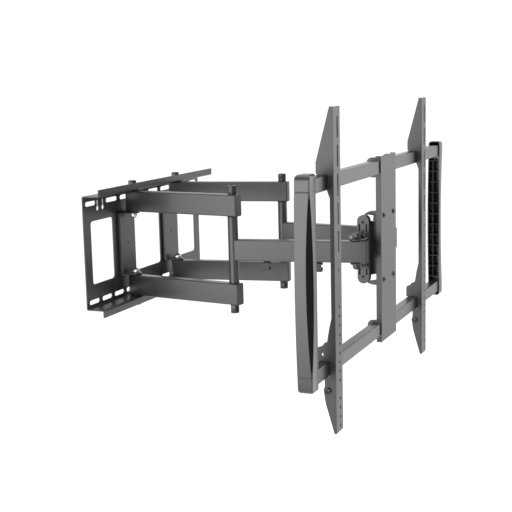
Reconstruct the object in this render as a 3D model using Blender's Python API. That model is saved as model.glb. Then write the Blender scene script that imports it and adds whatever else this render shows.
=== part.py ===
"""Full motion TV wall mount: two folding arm pairs, a tilting head and a levelling TV frame.

Units are metres, +Z is up.  The wall is the plane Y = 0 and the television is on the -Y side.
X = 0 is the middle of the wall plate and Z = 0 is the height of the forearms.  "Left" is -X.
"""
import bmesh
import bpy
from math import atan2, cos, pi, radians, sin
from mathutils import Matrix, Vector

# ---------------------------------------------------------------- clearances
FIT = 0.0003              # gap between two pieces that touch
RUNNING = 0.0006          # radial gap of a shaft that turns in a hole
WASHER_SPACE = 0.0020     # space for the thrust washer beside a turning piece
OVERLAP = 0.001           # how far a shape runs into the one that it joins, or a cutter past a face
SMALL_SEGMENTS = 12       # sides of a small round hole or shaft

# ---------------------------------------------------------------- wall plate
PLATE_WIDTH = 0.640
PLATE_HEIGHT = 0.282
PLATE_GAUGE = 0.003
FLANGE_DEPTH = 0.049
LIP_HEIGHT = 0.016
WINDOW_HEIGHT = 0.157
WINDOW_Z = -0.0033
MIDDLE_WINDOW_WIDTH = 0.144
SIDE_WINDOW_WIDTH = 0.107
SIDE_WINDOW_EDGE = 0.032      # plate end to the side window
WINDOW_CORNER = 0.008
SLOT_WIDTH = 0.0115
SLOT_EDGE = 0.0355            # plate end to the middle of the outermost slot
END_SLOT_LENGTH = 0.049
TOP_SLOT_Z = 0.1196
TOP_SLOT_LENGTH = 0.057
TOP_SLOT_PITCH = 0.070
TOP_SLOT_FIRST = 0.042
BOTTOM_SLOT_Z = -0.1246
BOTTOM_SLOT_PITCH = 0.0614
BOTTOM_SLOT_COUNT = 5
KEYHOLE_X = (0.226, 0.251)
KEYHOLE_TOP_Z = 0.1205
KEYHOLE_DROP = 0.016
KEYHOLE_NECK = 0.0032
KEYHOLE_HEAD = 0.0062

# ---------------------------------------------------------------- arms
SHOULDER_X = 0.1215
SHOULDER_Y = -0.0306
ARM_LENGTH = 0.303            # the rear arms and the forearms are equally long
ARM_SPREAD = radians(8.6)     # outward lean of the rear arms in the rest pose
TUBE_THICKNESS = 0.027
TUBE_WALL = 0.0025
TUBE_CORNER = 0.003
REAR_TUBE_HEIGHT = 0.053
FORE_TUBE_HEIGHT = 0.052
TUBE_PAST_SHOULDER = 0.0134
TUBE_PAST_ELBOW = 0.0152
TUBE_PAST_HEAD = 0.0257
FORE_TUBE_START = 0.006       # from the elbow axis
PLUG_FLANGE = 0.002
PLUG_DEPTH = 0.005
SLEEVE_RADIUS = 0.0125
ELBOW_SHAFT_RADIUS = 0.0082
BOLT_RADIUS = 0.006
CAP_RADIUS = 0.0117           # corner radius of the tall hexagonal caps
CAP_HEIGHT = 0.021
CAP_ROOF = 0.003
NUT_RADIUS = 0.0104
NUT_HEIGHT = 0.009
BRACKET_WIDTH = 0.075
BRACKET_STANDOFF = 0.012
BRACKET_HOLE_RADIUS = 0.0025
TAB_RADIUS = 0.0155
TAB_LEAN = radians(28)
CLIP_LENGTH = 0.014
CLIP_HEIGHT = 0.024
CLIP_WIDTH = 0.022
CLIP_WALL = 0.0025
CLIP_MOUTH = 0.006
CLIP_PLACES = (0.084, 0.213)  # from the elbow axis along the forearm

# ---------------------------------------------------------------- head bracket
TILT_AHEAD = 0.0067           # tilt axis in front of the head pivots
LUG_GAUGE = 0.0035
LUG_RADIUS = 0.014
CHEEK_INSIDE = 0.0705
CHEEK_THICKNESS = 0.0175
CHEEK_WIDTH = 0.029
CHEEK_HEIGHT = 0.166
CHEEK_HOLE_Z = 0.066
CHEEK_HOLE_RADIUS = 0.0028
GROOVE_OFFSET = 0.0088
GROOVE_WIDTH = 0.0032
GROOVE_DEPTH = 0.006
GROOVE_TOP = 0.062
GUSSET_HEIGHT = 0.014
GUSSET_REACH = 0.006
CROSSBAR_BEHIND = 0.0298      # head pivots to the back of the crossbar
CROSSBAR_DEPTH = 0.0092
LUG_BOLT_INBOARD = 0.0205
LUG_BOLT_AHEAD = 0.013
LUG_BOLT_RADIUS = 0.006
LUG_BOLT_HEIGHT = 0.009
PIVOT_HEAD_RADIUS = 0.0095
PIVOT_HEAD_HEIGHT = 0.012
TILT_BOLT_RADIUS = 0.006
TILT_HEAD_RADIUS = 0.010
TILT_HEAD_HEIGHT = 0.0075

# ---------------------------------------------------------------- tilt carrier
CARRIER_GAUGE = 0.003
CARRIER_HEIGHT = 0.182
EAR_CORNER = 0.036
EAR_BEHIND = 0.0175           # tilt axis to the back of the ears
LEVEL_SPACE = 0.0055          # between the carrier's ears and the column's sides
BEAN_RADIUS = 0.074
BEAN_WIDTH = 0.014
BEAN_HALF_ANGLE = radians(7)
BEAN_LEAN = radians(9.5)      # of the bean's middle from the vertical, towards the front

# ---------------------------------------------------------------- column and frame
COLUMN_AHEAD = 0.0387         # column front in front of the tilt axis
COLUMN_WIDTH = 0.1308
COLUMN_TOP = 0.2228
COLUMN_BOTTOM = -0.2319
COLUMN_GAUGE = 0.0025
COLUMN_SIDE = 0.013
RAIL_EAR_DEPTH = 0.036
RAIL_EAR_HALF = 0.024
SCREW_X = 0.042
SCREW_Z = 0.079
SCREW_HEAD_RADIUS = 0.0065
SCREW_HEAD_HEIGHT = 0.0032
SCREW_RADIUS = 0.003
LEVEL_TURN = radians(3)
RAIL_TOP_Z = 0.1957
RAIL_BOTTOM_Z = -0.2005
RAIL_HEIGHT = 0.032
RAIL_DEPTH = 0.025
RAIL_WALL = 0.002
FRAME_WIDTH = 1.132
COVER_THICKNESS = 0.037
COVER_WALL = 0.003
COVER_TOP = 0.222
COVER_BOTTOM = -0.227
COVER_CORNER = 0.006
COVER_BOW = 0.0035
COVER_RIB = 0.0016
COVER_RIB_PITCH = 0.0308
COVER_RIB_RECESS = 0.004

# ---------------------------------------------------------------- TV brackets
TV_AHEAD = 0.0151             # bracket front in front of the rail's front
TV_WIDTH = 0.0448
TV_GAUGE = 0.0025
TV_TOP = 0.352
TV_BOTTOM = -0.343
LEFT_TV_X = -0.4515           # -X side of the left bracket
RIGHT_TV_X = 0.2774
HOLE_COLUMN = 0.0272          # from the bracket's -X side
HOLE_PITCH = 0.020
HOLE_RADIUS = 0.0035
HOLE_CENTRE_Z = 0.0095
LONG_HOLE = 0.0466
LONG_PITCH = 0.060
LONG_COUNT = 5
TV_NARROW = 0.009
TV_WIDE = 0.039
TV_WIDE_Z = 0.2375
LOCK_Z = -0.2486
LOCK_AHEAD = 0.018
LOCK_RADIUS = 0.004
LOCK_HEAD_RADIUS = 0.0055
LOCK_HEAD_HEIGHT = 0.005

# ---------------------------------------------------------------- derived places
PLATE_TOP = PLATE_HEIGHT / 2
FLANGE_INSIDE = PLATE_TOP - PLATE_GAUGE
REAR_TUBE_TOP = FLANGE_INSIDE - WASHER_SPACE
REAR_TUBE_BOTTOM = REAR_TUBE_TOP - REAR_TUBE_HEIGHT
TAB_TOP = REAR_TUBE_BOTTOM - WASHER_SPACE
TAB_BOTTOM = TAB_TOP - PLATE_GAUGE
ELBOW_X = SHOULDER_X + ARM_LENGTH * sin(ARM_SPREAD)
ELBOW_Y = SHOULDER_Y - ARM_LENGTH * cos(ARM_SPREAD)
HEAD_Y = ELBOW_Y - ARM_LENGTH * cos(ARM_SPREAD)
LUG_BOTTOM = FORE_TUBE_HEIGHT / 2 + WASHER_SPACE / 2
LUG_TOP = LUG_BOTTOM + LUG_GAUGE
TILT_Y = HEAD_Y - TILT_AHEAD
CHEEK_OUTSIDE = CHEEK_INSIDE + CHEEK_THICKNESS
COLUMN_FRONT = TILT_Y - COLUMN_AHEAD
COLUMN_BACK_FACE = COLUMN_FRONT + COLUMN_GAUGE
CARRIER_FRONT = COLUMN_BACK_FACE + FIT
CARRIER_BACK = TILT_Y + EAR_BEHIND
EAR_OUTSIDE = COLUMN_WIDTH / 2 - COLUMN_GAUGE - LEVEL_SPACE
RAIL_FRONT = COLUMN_BACK_FACE + FIT
RAIL_BACK = RAIL_FRONT + RAIL_DEPTH
COVER_OUTSIDE = FRAME_WIDTH / 2
COVER_INSIDE = COVER_OUTSIDE - COVER_THICKNESS
COVER_FRONT = RAIL_FRONT - FIT - COVER_WALL
COVER_BACK = RAIL_BACK + FIT + COVER_WALL
RAIL_END = COVER_OUTSIDE - COVER_WALL - 0.010
TV_FRONT = RAIL_FRONT - TV_AHEAD

ARC_STEPS = 5                 # straight pieces in a quarter turn
ROUND_SEGMENTS = 20


# ================================================================ scene helpers
def clear_scene():
    """Remove every object, then make the collections for the parts and their cutters."""
    for item in list(bpy.data.objects):
        bpy.data.objects.remove(item, do_unlink=True)
    made = []
    for name in ("tv_wall_mount", "cutters"):
        group = bpy.data.collections.new(name)
        bpy.context.scene.collection.children.link(group)
        made.append(group)
    return made


def make_material(name, colour, roughness, metallic):
    """Return a Principled material with one plain colour."""
    material = bpy.data.materials.new(name)
    material.use_nodes = True
    shader = material.node_tree.nodes["Principled BSDF"]
    shader.inputs["Base Color"].default_value = (*colour, 1.0)
    shader.inputs["Roughness"].default_value = roughness
    shader.inputs["Metallic"].default_value = metallic
    return material


def make_empty(name, place, parent=None):
    """Return an empty on a joint's axis."""
    empty = bpy.data.objects.new(name, None)
    empty.location = place
    PARTS.objects.link(empty)
    if parent is not None:
        bpy.context.view_layer.update()
        empty.parent = parent
        empty.matrix_parent_inverse = parent.matrix_world.inverted()
    return empty


def finish(piece, name, material, joint=None):
    """Name a piece, give it its material and hang it on its joint's empty."""
    piece.name = name
    piece.data.name = name
    piece.data.materials.clear()
    piece.data.materials.append(material)
    for group in list(piece.users_collection):
        group.objects.unlink(piece)
    PARTS.objects.link(piece)
    piece.hide_render = False
    piece.display_type = "TEXTURED"
    if joint is not None:
        bpy.context.view_layer.update()
        piece.parent = joint
        piece.matrix_parent_inverse = joint.matrix_world.inverted()
    return piece


def keep_mesh(shape, place):
    """Turn a bmesh into a hidden helper object, placed by its vertices."""
    shape.transform(place)
    if shape.calc_volume(signed=True) < 0.0:
        bmesh.ops.reverse_faces(shape, faces=shape.faces)
    mesh = bpy.data.meshes.new("shape")
    shape.to_mesh(mesh)
    shape.free()
    helper = bpy.data.objects.new("shape", mesh)
    helper.hide_render = True
    helper.display_type = "WIRE"
    CUTTERS.objects.link(helper)
    return helper


def box(low, high, place=Matrix.Identity(4)):
    """Return a box between two corners."""
    low, high = Vector(low), Vector(high)
    shape = bmesh.new()
    bmesh.ops.create_cube(shape, size=1.0)
    shape.transform(Matrix.Translation((low + high) / 2) @ Matrix.Diagonal((*(high - low), 1.0)))
    return keep_mesh(shape, place)


def cylinder(radius, start, end, place=Matrix.Identity(4), segments=ROUND_SEGMENTS, top_radius=None):
    """Return a round or regular bar between two points."""
    start, end = Vector(start), Vector(end)
    run = end - start
    shape = bmesh.new()
    bmesh.ops.create_cone(shape, cap_ends=True, segments=segments, radius1=radius,
                          radius2=radius if top_radius is None else top_radius, depth=run.length)
    turn = run.to_track_quat("Z", "Y").to_matrix().to_4x4()
    shape.transform(Matrix.Translation((start + end) / 2) @ turn)
    return keep_mesh(shape, place)


def sheet(loops, plane, low, high, place=Matrix.Identity(4)):
    """Extrude closed outlines, the first one solid and the others holes, from low to high.

    plane names the two world axes of the outline, such as "XZ"; the third is the thickness.
    """
    curve = bpy.data.curves.new("outline", "CURVE")
    curve.dimensions = "2D"
    curve.fill_mode = "BOTH"
    curve.extrude = (high - low) / 2
    for loop in loops:
        spline = curve.splines.new("POLY")
        spline.points.add(len(loop) - 1)
        for point, (across, along) in zip(spline.points, loop):
            point.co = (across, along, 0.0, 1.0)
        spline.use_cyclic_u = True
    outline = bpy.data.objects.new("outline", curve)
    CUTTERS.objects.link(outline)
    bpy.context.view_layer.update()
    seen = outline.evaluated_get(bpy.context.evaluated_depsgraph_get())
    mesh = bpy.data.meshes.new_from_object(seen)
    bpy.data.objects.remove(outline, do_unlink=True)
    shape = bmesh.new()
    shape.from_mesh(mesh)
    bpy.data.meshes.remove(mesh)
    bmesh.ops.remove_doubles(shape, verts=shape.verts, dist=1e-6)
    first, second = ("XYZ".index(axis) for axis in plane)
    third = 3 - first - second
    turn = Matrix.Diagonal((0.0, 0.0, 0.0, 1.0))
    turn[first][0] = turn[second][1] = turn[third][2] = 1.0
    shift = Vector((0.0, 0.0, 0.0))
    shift[third] = (low + high) / 2
    shape.transform(Matrix.Translation(shift) @ turn)
    return keep_mesh(shape, place)


def combine(piece, other, operation):
    """Add an exact Boolean to piece."""
    step = piece.modifiers.new(operation.lower(), "BOOLEAN")
    step.operation = operation
    step.solver = "EXACT"
    step.object = other


def cut(piece, *cutters):
    """Take each cutter out of piece."""
    for cutter in cutters:
        combine(piece, cutter, "DIFFERENCE")
    return piece


def fuse(piece, *others):
    """Weld the others onto piece."""
    for other in others:
        combine(piece, other, "UNION")
    return piece


# ================================================================ outlines
def arc(centre, radius, start, end, steps=ARC_STEPS):
    """Return points along an arc, both ends included; angles in radians."""
    return [(centre[0] + radius * cos(start + (end - start) * i / steps),
             centre[1] + radius * sin(start + (end - start) * i / steps)) for i in range(steps + 1)]


def circle(centre, radius, segments=16):
    """Return a circle as a closed outline."""
    return arc(centre, radius, 0.0, 2 * pi, segments)[:-1]


def rounded_box(low, high, radius, steps=ARC_STEPS):
    """Return a rectangle with round corners."""
    (x0, y0), (x1, y1) = low, high
    points = []
    for centre, start in (((x1 - radius, y1 - radius), 0.0), ((x0 + radius, y1 - radius), pi / 2),
                          ((x0 + radius, y0 + radius), pi), ((x1 - radius, y0 + radius), 1.5 * pi)):
        points += arc(centre, radius, start, start + pi / 2, steps)
    return points


def long_hole(centre, length, width, angle=0.0, steps=6):
    """Return a slot with round ends, its length along the given angle."""
    reach = (length - width) / 2
    step = (reach * cos(angle), reach * sin(angle))
    ahead = (centre[0] + step[0], centre[1] + step[1])
    behind = (centre[0] - step[0], centre[1] - step[1])
    return (arc(ahead, width / 2, angle - pi / 2, angle + pi / 2, steps)
            + arc(behind, width / 2, angle + pi / 2, angle + 1.5 * pi, steps))


def keyhole(centre_x, top_z):
    """Return a keyhole: a narrow slot above a wide round hole."""
    low = (centre_x, top_z - KEYHOLE_DROP)
    neck = (centre_x, top_z + KEYHOLE_NECK)
    lean = atan2(KEYHOLE_NECK, KEYHOLE_HEAD)
    return (arc(neck, KEYHOLE_NECK, 0.0, pi, 5)
            + arc(low, KEYHOLE_HEAD, pi / 2 + lean, 2.5 * pi - lean, 12))


def bean(centre, radius, width, middle, half_angle, steps=6):
    """Return a curved slot that follows a circle around centre."""
    outer = arc(centre, radius + width / 2, middle - half_angle, middle + half_angle, steps)
    inner = arc(centre, radius - width / 2, middle + half_angle, middle - half_angle, steps)
    ends = []
    for angle in (middle + half_angle, middle - half_angle):
        ends.append((centre[0] + radius * cos(angle), centre[1] + radius * sin(angle)))
    last = middle + half_angle
    first = middle - half_angle
    return (outer[:-1] + arc(ends[0], width / 2, last, last + pi, steps)
            + inner[1:-1] + arc(ends[1], width / 2, first + pi, first + 2 * pi, steps)[:-1])


# ================================================================ wall plate
def wall_section():
    """Return the plate's bent section: back, two flanges and two lips, as (y, z) points."""
    outer, inner = PLATE_GAUGE + OVERLAP, 0.001
    top = PLATE_TOP
    lip_top = top + LIP_HEIGHT
    front = -FLANGE_DEPTH
    half = [(0.0, 0.0)]
    half += arc((-outer, top - outer), outer, 0.0, pi / 2)
    half += arc((front + outer, top + inner), inner, 1.5 * pi, pi)
    half += [(front + PLATE_GAUGE, lip_top), (front, lip_top)]
    half += arc((front + outer, top + inner), outer, pi, 1.5 * pi)
    half += arc((-outer, top - outer), inner, pi / 2, 0.0)
    mirrored = [(y, -z) for y, z in reversed(half[1:])]
    return half[1:] + mirrored


def wall_openings():
    """Return the outlines of the plate's windows, slots and keyholes, as (x, z) points."""
    low, high = WINDOW_Z - WINDOW_HEIGHT / 2, WINDOW_Z + WINDOW_HEIGHT / 2
    side_out = PLATE_WIDTH / 2 - SIDE_WINDOW_EDGE
    side_in = side_out - SIDE_WINDOW_WIDTH
    half = MIDDLE_WINDOW_WIDTH / 2
    end_slot = PLATE_WIDTH / 2 - SLOT_EDGE
    loops = [rounded_box((-half, low), (half, high), WINDOW_CORNER)]
    for side in (-1, 1):
        edges = sorted((side * side_in, side * side_out))
        loops.append(rounded_box((edges[0], low), (edges[1], high), WINDOW_CORNER))
        for index in range(3):
            middle = side * (TOP_SLOT_FIRST + index * TOP_SLOT_PITCH)
            loops.append(long_hole((middle, TOP_SLOT_Z), TOP_SLOT_LENGTH, SLOT_WIDTH))
        loops.append(long_hole((side * end_slot, TOP_SLOT_Z), END_SLOT_LENGTH, SLOT_WIDTH))
        for middle in KEYHOLE_X:
            loops.append(keyhole(side * middle, KEYHOLE_TOP_Z))
        for index in range(BOTTOM_SLOT_COUNT):
            middle = side * (end_slot - index * BOTTOM_SLOT_PITCH)
            loops.append(long_hole((middle, BOTTOM_SLOT_Z), END_SLOT_LENGTH, SLOT_WIDTH))
    return loops


def build_wall_plate():
    """Make the channel that is screwed to the wall."""
    half = PLATE_WIDTH / 2
    plate = sheet([wall_section()], "YZ", -half, half)
    for loop in wall_openings():
        cut(plate, sheet([loop], "XZ", -2 * PLATE_GAUGE, PLATE_GAUGE))
    for side in (-1, 1):
        axis = (side * SHOULDER_X, SHOULDER_Y)
        cut(plate, cylinder(BOLT_RADIUS + FIT, (*axis, -PLATE_HEIGHT), (*axis, PLATE_HEIGHT)))
    return finish(plate, "wall_plate", STEEL)


def build_pivot_bracket(side, name):
    """Make one shoulder bracket: a shallow channel on the plate with a tab above and below."""
    half = BRACKET_WIDTH / 2
    middle = side * SHOULDER_X
    back = -PLATE_GAUGE - FIT
    face = -BRACKET_STANDOFF
    section = [(middle - half, back), (middle - half, face), (middle + half, face), (middle + half, back),
               (middle + half - PLATE_GAUGE, back), (middle + half - PLATE_GAUGE, face + PLATE_GAUGE),
               (middle - half + PLATE_GAUGE, face + PLATE_GAUGE), (middle - half + PLATE_GAUGE, back)]
    bracket = sheet([section], "XY", -TAB_TOP, TAB_TOP)
    tab = [(middle + half, face + PLATE_GAUGE / 2), (middle - half, face + PLATE_GAUGE / 2),
           (middle - half, face - 0.003)]
    tab += arc((middle, SHOULDER_Y), TAB_RADIUS, pi + TAB_LEAN, 2 * pi - TAB_LEAN, 10)
    tab += [(middle + half, face - 0.003)]
    for low, high in ((TAB_BOTTOM, TAB_TOP), (-TAB_TOP, -TAB_BOTTOM)):
        fuse(bracket, sheet([tab], "XY", low, high))
    bore = cylinder(BOLT_RADIUS + FIT, (middle, SHOULDER_Y, -PLATE_TOP), (middle, SHOULDER_Y, PLATE_TOP))
    small_hole = cylinder(BRACKET_HOLE_RADIUS, (middle, 0.0, 0.0), (middle, 2 * face, 0.0),
                          segments=SMALL_SEGMENTS)
    cut(bracket, bore, small_hole)
    return finish(bracket, f"{name}_pivot_bracket", STEEL)


def build_shoulder_bolt(side, name, level, word):
    """Make one shoulder bolt with its tall hexagonal head, and the nut under the tab."""
    axis = (side * SHOULDER_X, SHOULDER_Y)
    head = PLATE_TOP + FIT
    tip = TAB_BOTTOM - NUT_HEIGHT - 0.003
    bolt = cylinder(BOLT_RADIUS, (*axis, level * tip), (*axis, level * (head + OVERLAP)))
    fuse(bolt, cylinder(CAP_RADIUS + 0.0012, (*axis, level * head), (*axis, level * (head + 0.0015))),
         cylinder(CAP_RADIUS, (*axis, level * (head + OVERLAP)), (*axis, level * (head + CAP_HEIGHT)),
                  segments=6))
    finish(bolt, f"{name}_{word}_shoulder_bolt", HARDWARE)
    nut_top = TAB_BOTTOM - FIT
    nut = cylinder(NUT_RADIUS, (*axis, level * (nut_top - NUT_HEIGHT)), (*axis, level * nut_top), segments=6)
    cut(nut, cylinder(BOLT_RADIUS + FIT, (*axis, -PLATE_TOP), (*axis, PLATE_TOP)))
    finish(nut, f"{name}_{word}_shoulder_nut", ZINC)


# ================================================================ arms
def arm_place(origin, direction):
    """Return the placement whose +X runs along an arm from origin; direction is in the XY plane."""
    angle = atan2(direction[1], direction[0])
    return Matrix.Translation((*origin, 0.0)) @ Matrix.Rotation(angle, 4, "Z")


def tube_section(height, inset=0.0):
    """Return a tube's outline, or the outline that lies inset from it, as (y, z) points."""
    across, up = TUBE_THICKNESS / 2 - inset, height / 2 - inset
    radius = max(TUBE_CORNER - inset, 0.0008)
    return rounded_box((-across, -up), (across, up), radius, 3)


def build_plug(end, height, level, place, name, joint):
    """Make the plastic plug in a tube's end; end is its place along the tube."""
    middle = Matrix.Translation((0.0, 0.0, level))
    body = sheet([tube_section(height)], "YZ", end + FIT, end + FIT + PLUG_FLANGE, place @ middle)
    stem = sheet([tube_section(height, TUBE_WALL + FIT)], "YZ", end - PLUG_DEPTH, end + PLUG_FLANGE / 2,
                 place @ middle)
    fuse(body, stem)
    finish(body, name, PLASTIC, joint)


def build_rear_arm(side, name, joint):
    """Make the upper and lower rear tubes of one side, their plugs, and the elbow's shaft and caps."""
    shoulder = (side * SHOULDER_X, SHOULDER_Y)
    elbow = (side * ELBOW_X, ELBOW_Y)
    place = arm_place(shoulder, (elbow[0] - shoulder[0], elbow[1] - shoulder[1]))
    end = ARM_LENGTH + TUBE_PAST_ELBOW
    middle = (REAR_TUBE_TOP + REAR_TUBE_BOTTOM) / 2
    for sign, word in ((1, "upper"), (-1, "lower")):
        lift = place @ Matrix.Translation((0.0, 0.0, sign * middle))
        tube = sheet([tube_section(REAR_TUBE_HEIGHT), tube_section(REAR_TUBE_HEIGHT, TUBE_WALL)], "YZ",
                     -TUBE_PAST_SHOULDER, end, lift)
        for along, radius in ((0.0, BOLT_RADIUS + RUNNING), (ARM_LENGTH, ELBOW_SHAFT_RADIUS + FIT)):
            cut(tube, cylinder(radius, (along, 0.0, -REAR_TUBE_HEIGHT), (along, 0.0, REAR_TUBE_HEIGHT), lift))
        finish(tube, f"{name}_{word}_rear_arm", STEEL, joint)
        build_plug(end, REAR_TUBE_HEIGHT, sign * middle, place, f"{name}_{word}_rear_arm_plug", joint)
        low = REAR_TUBE_TOP + FIT
        cap = cylinder(CAP_RADIUS, (*elbow, sign * low), (*elbow, sign * (low + CAP_HEIGHT)), segments=6)
        cut(cap, cylinder(ELBOW_SHAFT_RADIUS + FIT, (*elbow, sign * (low - OVERLAP)),
                          (*elbow, sign * (low + CAP_HEIGHT - CAP_ROOF))))
        finish(cap, f"{name}_{word}_elbow_cap", HARDWARE, joint)
    reach = REAR_TUBE_TOP + CAP_HEIGHT - CAP_ROOF - 0.001
    shaft = cylinder(ELBOW_SHAFT_RADIUS, (*elbow, -reach), (*elbow, reach))
    finish(shaft, f"{name}_elbow_shaft", HARDWARE, joint)


def build_forearm(side, name, joint):
    """Make one forearm with its welded elbow sleeve, its plug and its cable clips."""
    elbow = (side * ELBOW_X, ELBOW_Y)
    head = (side * SHOULDER_X, HEAD_Y)
    place = arm_place(elbow, (head[0] - elbow[0], head[1] - elbow[1]))
    end = ARM_LENGTH + TUBE_PAST_HEAD
    arm = sheet([tube_section(FORE_TUBE_HEIGHT), tube_section(FORE_TUBE_HEIGHT, TUBE_WALL)], "YZ",
                FORE_TUBE_START, end, place)
    sleeve = TAB_TOP
    tall = 2 * PLATE_HEIGHT
    fuse(arm, cylinder(SLEEVE_RADIUS, (0.0, 0.0, -sleeve), (0.0, 0.0, sleeve), place, 24))
    cut(arm, cylinder(ELBOW_SHAFT_RADIUS + RUNNING, (0.0, 0.0, -tall), (0.0, 0.0, tall), place),
        cylinder(BOLT_RADIUS + RUNNING, (ARM_LENGTH, 0.0, -tall), (ARM_LENGTH, 0.0, tall), place))
    finish(arm, f"{name}_forearm", STEEL, joint)
    build_plug(end, FORE_TUBE_HEIGHT, 0.0, place, f"{name}_forearm_plug", joint)
    top = -FORE_TUBE_HEIGHT / 2 - FIT
    half = CLIP_WIDTH / 2
    outer = rounded_box((-half, top - CLIP_HEIGHT), (half, top), 0.005, 4)
    inner = rounded_box((-half + CLIP_WALL, top - CLIP_HEIGHT + CLIP_WALL),
                        (half - CLIP_WALL, top - CLIP_WALL), 0.003, 4)
    for number, along in enumerate(CLIP_PLACES, start=1):
        low, high = along - CLIP_LENGTH / 2, along + CLIP_LENGTH / 2
        clip = sheet([outer, inner], "YZ", low, high, place)
        cut(clip, box((low - OVERLAP, -side * half - 0.004, top - CLIP_HEIGHT / 2 - CLIP_MOUTH / 2),
                      (high + OVERLAP, -side * half + 0.004, top - CLIP_HEIGHT / 2 + CLIP_MOUTH / 2), place))
        finish(clip, f"{name}_cable_clip_{number}", PLASTIC, joint)


# ================================================================ head
def lug_outline():
    """Return the outline of one pivot plate: a back strip that widens to a round lug at each end."""
    back = HEAD_Y + CROSSBAR_BEHIND
    strip = back - CROSSBAR_DEPTH
    root = CHEEK_INSIDE + 0.002
    low = TILT_Y - CHEEK_WIDTH / 2 + 0.001
    right = [(root, strip), (root, low), (CHEEK_OUTSIDE + 0.006, low)]
    right += arc((SHOULDER_X, HEAD_Y), LUG_RADIUS, radians(-75), radians(60), 10)
    right += [(CHEEK_OUTSIDE, back)]
    return right + [(-x, y) for x, y in reversed(right)]


def build_head_bracket(joint):
    """Make the welded head: two pivot plates, a crossbar web and two grooved cheeks with gussets."""
    back = HEAD_Y + CROSSBAR_BEHIND
    outline = lug_outline()
    head = sheet([outline], "XY", LUG_BOTTOM, LUG_TOP)
    fuse(head, box((-CHEEK_OUTSIDE + OVERLAP, back - LUG_GAUGE, -LUG_TOP + 0.0005),
                   (CHEEK_OUTSIDE - OVERLAP, back - 0.0005, LUG_TOP - 0.0005)),
         sheet([outline], "XY", -LUG_TOP, -LUG_BOTTOM))
    half, tall = CHEEK_WIDTH / 2, CHEEK_HEIGHT / 2
    cheek = rounded_box((TILT_Y - half, -tall), (TILT_Y + half, tall), half - 0.0002, 8)
    holes = [circle((TILT_Y, z), CHEEK_HOLE_RADIUS, SMALL_SEGMENTS) for z in (-CHEEK_HOLE_Z, CHEEK_HOLE_Z)]
    for side in (-1, 1):
        faces = sorted((side * CHEEK_INSIDE, side * CHEEK_OUTSIDE))
        fuse(head, sheet([cheek] + holes, "YZ", faces[0], faces[1]))
        ends = sorted((side * (CHEEK_OUTSIDE - 0.003), side * (CHEEK_OUTSIDE + GUSSET_REACH)))
        for sign in (-1, 1):
            levels = sorted((sign * (LUG_TOP - OVERLAP), sign * (LUG_TOP + GUSSET_HEIGHT)))
            fuse(head, box((ends[0], TILT_Y - half + 0.002, levels[0]),
                           (ends[1], TILT_Y + half - OVERLAP, levels[1])))
        boss = sorted((side * (EAR_OUTSIDE + FIT), side * (CHEEK_INSIDE + 0.002)))
        fuse(head, cylinder(2 * TILT_BOLT_RADIUS, (boss[0], TILT_Y, 0.0), (boss[1], TILT_Y, 0.0)))
    for side in (-1, 1):
        deep = sorted((side * (CHEEK_OUTSIDE - GROOVE_DEPTH), side * (CHEEK_OUTSIDE + OVERLAP)))
        for sign in (-1, 1):
            levels = sorted((sign * (LUG_TOP + GUSSET_HEIGHT + 0.0008), sign * GROOVE_TOP))
            for shift in (-GROOVE_OFFSET, GROOVE_OFFSET):
                low = (deep[0], TILT_Y + shift - GROOVE_WIDTH / 2, levels[0])
                high = (deep[1], TILT_Y + shift + GROOVE_WIDTH / 2, levels[1])
                cut(head, box(low, high))
            bolt = (side * (SHOULDER_X - LUG_BOLT_INBOARD), HEAD_Y - LUG_BOLT_AHEAD)
            cut(head, cylinder(LUG_BOLT_RADIUS / 2 + FIT, (*bolt, sign * (LUG_BOTTOM - 0.002)),
                               (*bolt, sign * (LUG_TOP + OVERLAP)), segments=SMALL_SEGMENTS))
        pivot = (side * SHOULDER_X, HEAD_Y)
        cut(head, cylinder(BOLT_RADIUS + FIT, (*pivot, -CHEEK_HEIGHT), (*pivot, CHEEK_HEIGHT)),
            cylinder(TILT_BOLT_RADIUS + FIT, (side * EAR_OUTSIDE * 0.9, TILT_Y, 0.0),
                     (side * (CHEEK_OUTSIDE + 0.002), TILT_Y, 0.0)))
    return finish(head, "head_bracket", STEEL, joint)


def build_head_fasteners(side, name, joint):
    """Make one head pivot bolt with its nut, and the two short lug bolts beside it."""
    axis = (side * SHOULDER_X, HEAD_Y)
    seat = LUG_TOP + FIT
    bolt = cylinder(BOLT_RADIUS, (*axis, -seat - PIVOT_HEAD_HEIGHT), (*axis, seat + OVERLAP))
    fuse(bolt, cylinder(PIVOT_HEAD_RADIUS, (*axis, seat), (*axis, seat + PIVOT_HEAD_HEIGHT), segments=6))
    finish(bolt, f"{name}_head_pivot_bolt", HARDWARE, joint)
    nut = cylinder(PIVOT_HEAD_RADIUS, (*axis, -seat - NUT_HEIGHT), (*axis, -seat), segments=6)
    cut(nut, cylinder(BOLT_RADIUS + FIT, (*axis, -CHEEK_HEIGHT), (*axis, CHEEK_HEIGHT)))
    finish(nut, f"{name}_head_pivot_nut", HARDWARE, joint)
    spot = (side * (SHOULDER_X - LUG_BOLT_INBOARD), HEAD_Y - LUG_BOLT_AHEAD)
    for sign, word in ((1, "upper"), (-1, "lower")):
        lug_bolt = cylinder(LUG_BOLT_RADIUS / 2, (*spot, sign * (LUG_BOTTOM + FIT)),
                            (*spot, sign * (seat + OVERLAP)), segments=SMALL_SEGMENTS)
        fuse(lug_bolt, cylinder(LUG_BOLT_RADIUS, (*spot, sign * seat),
                                (*spot, sign * (seat + LUG_BOLT_HEIGHT)), segments=6))
        finish(lug_bolt, f"{name}_{word}_lug_bolt", HARDWARE, joint)


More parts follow.
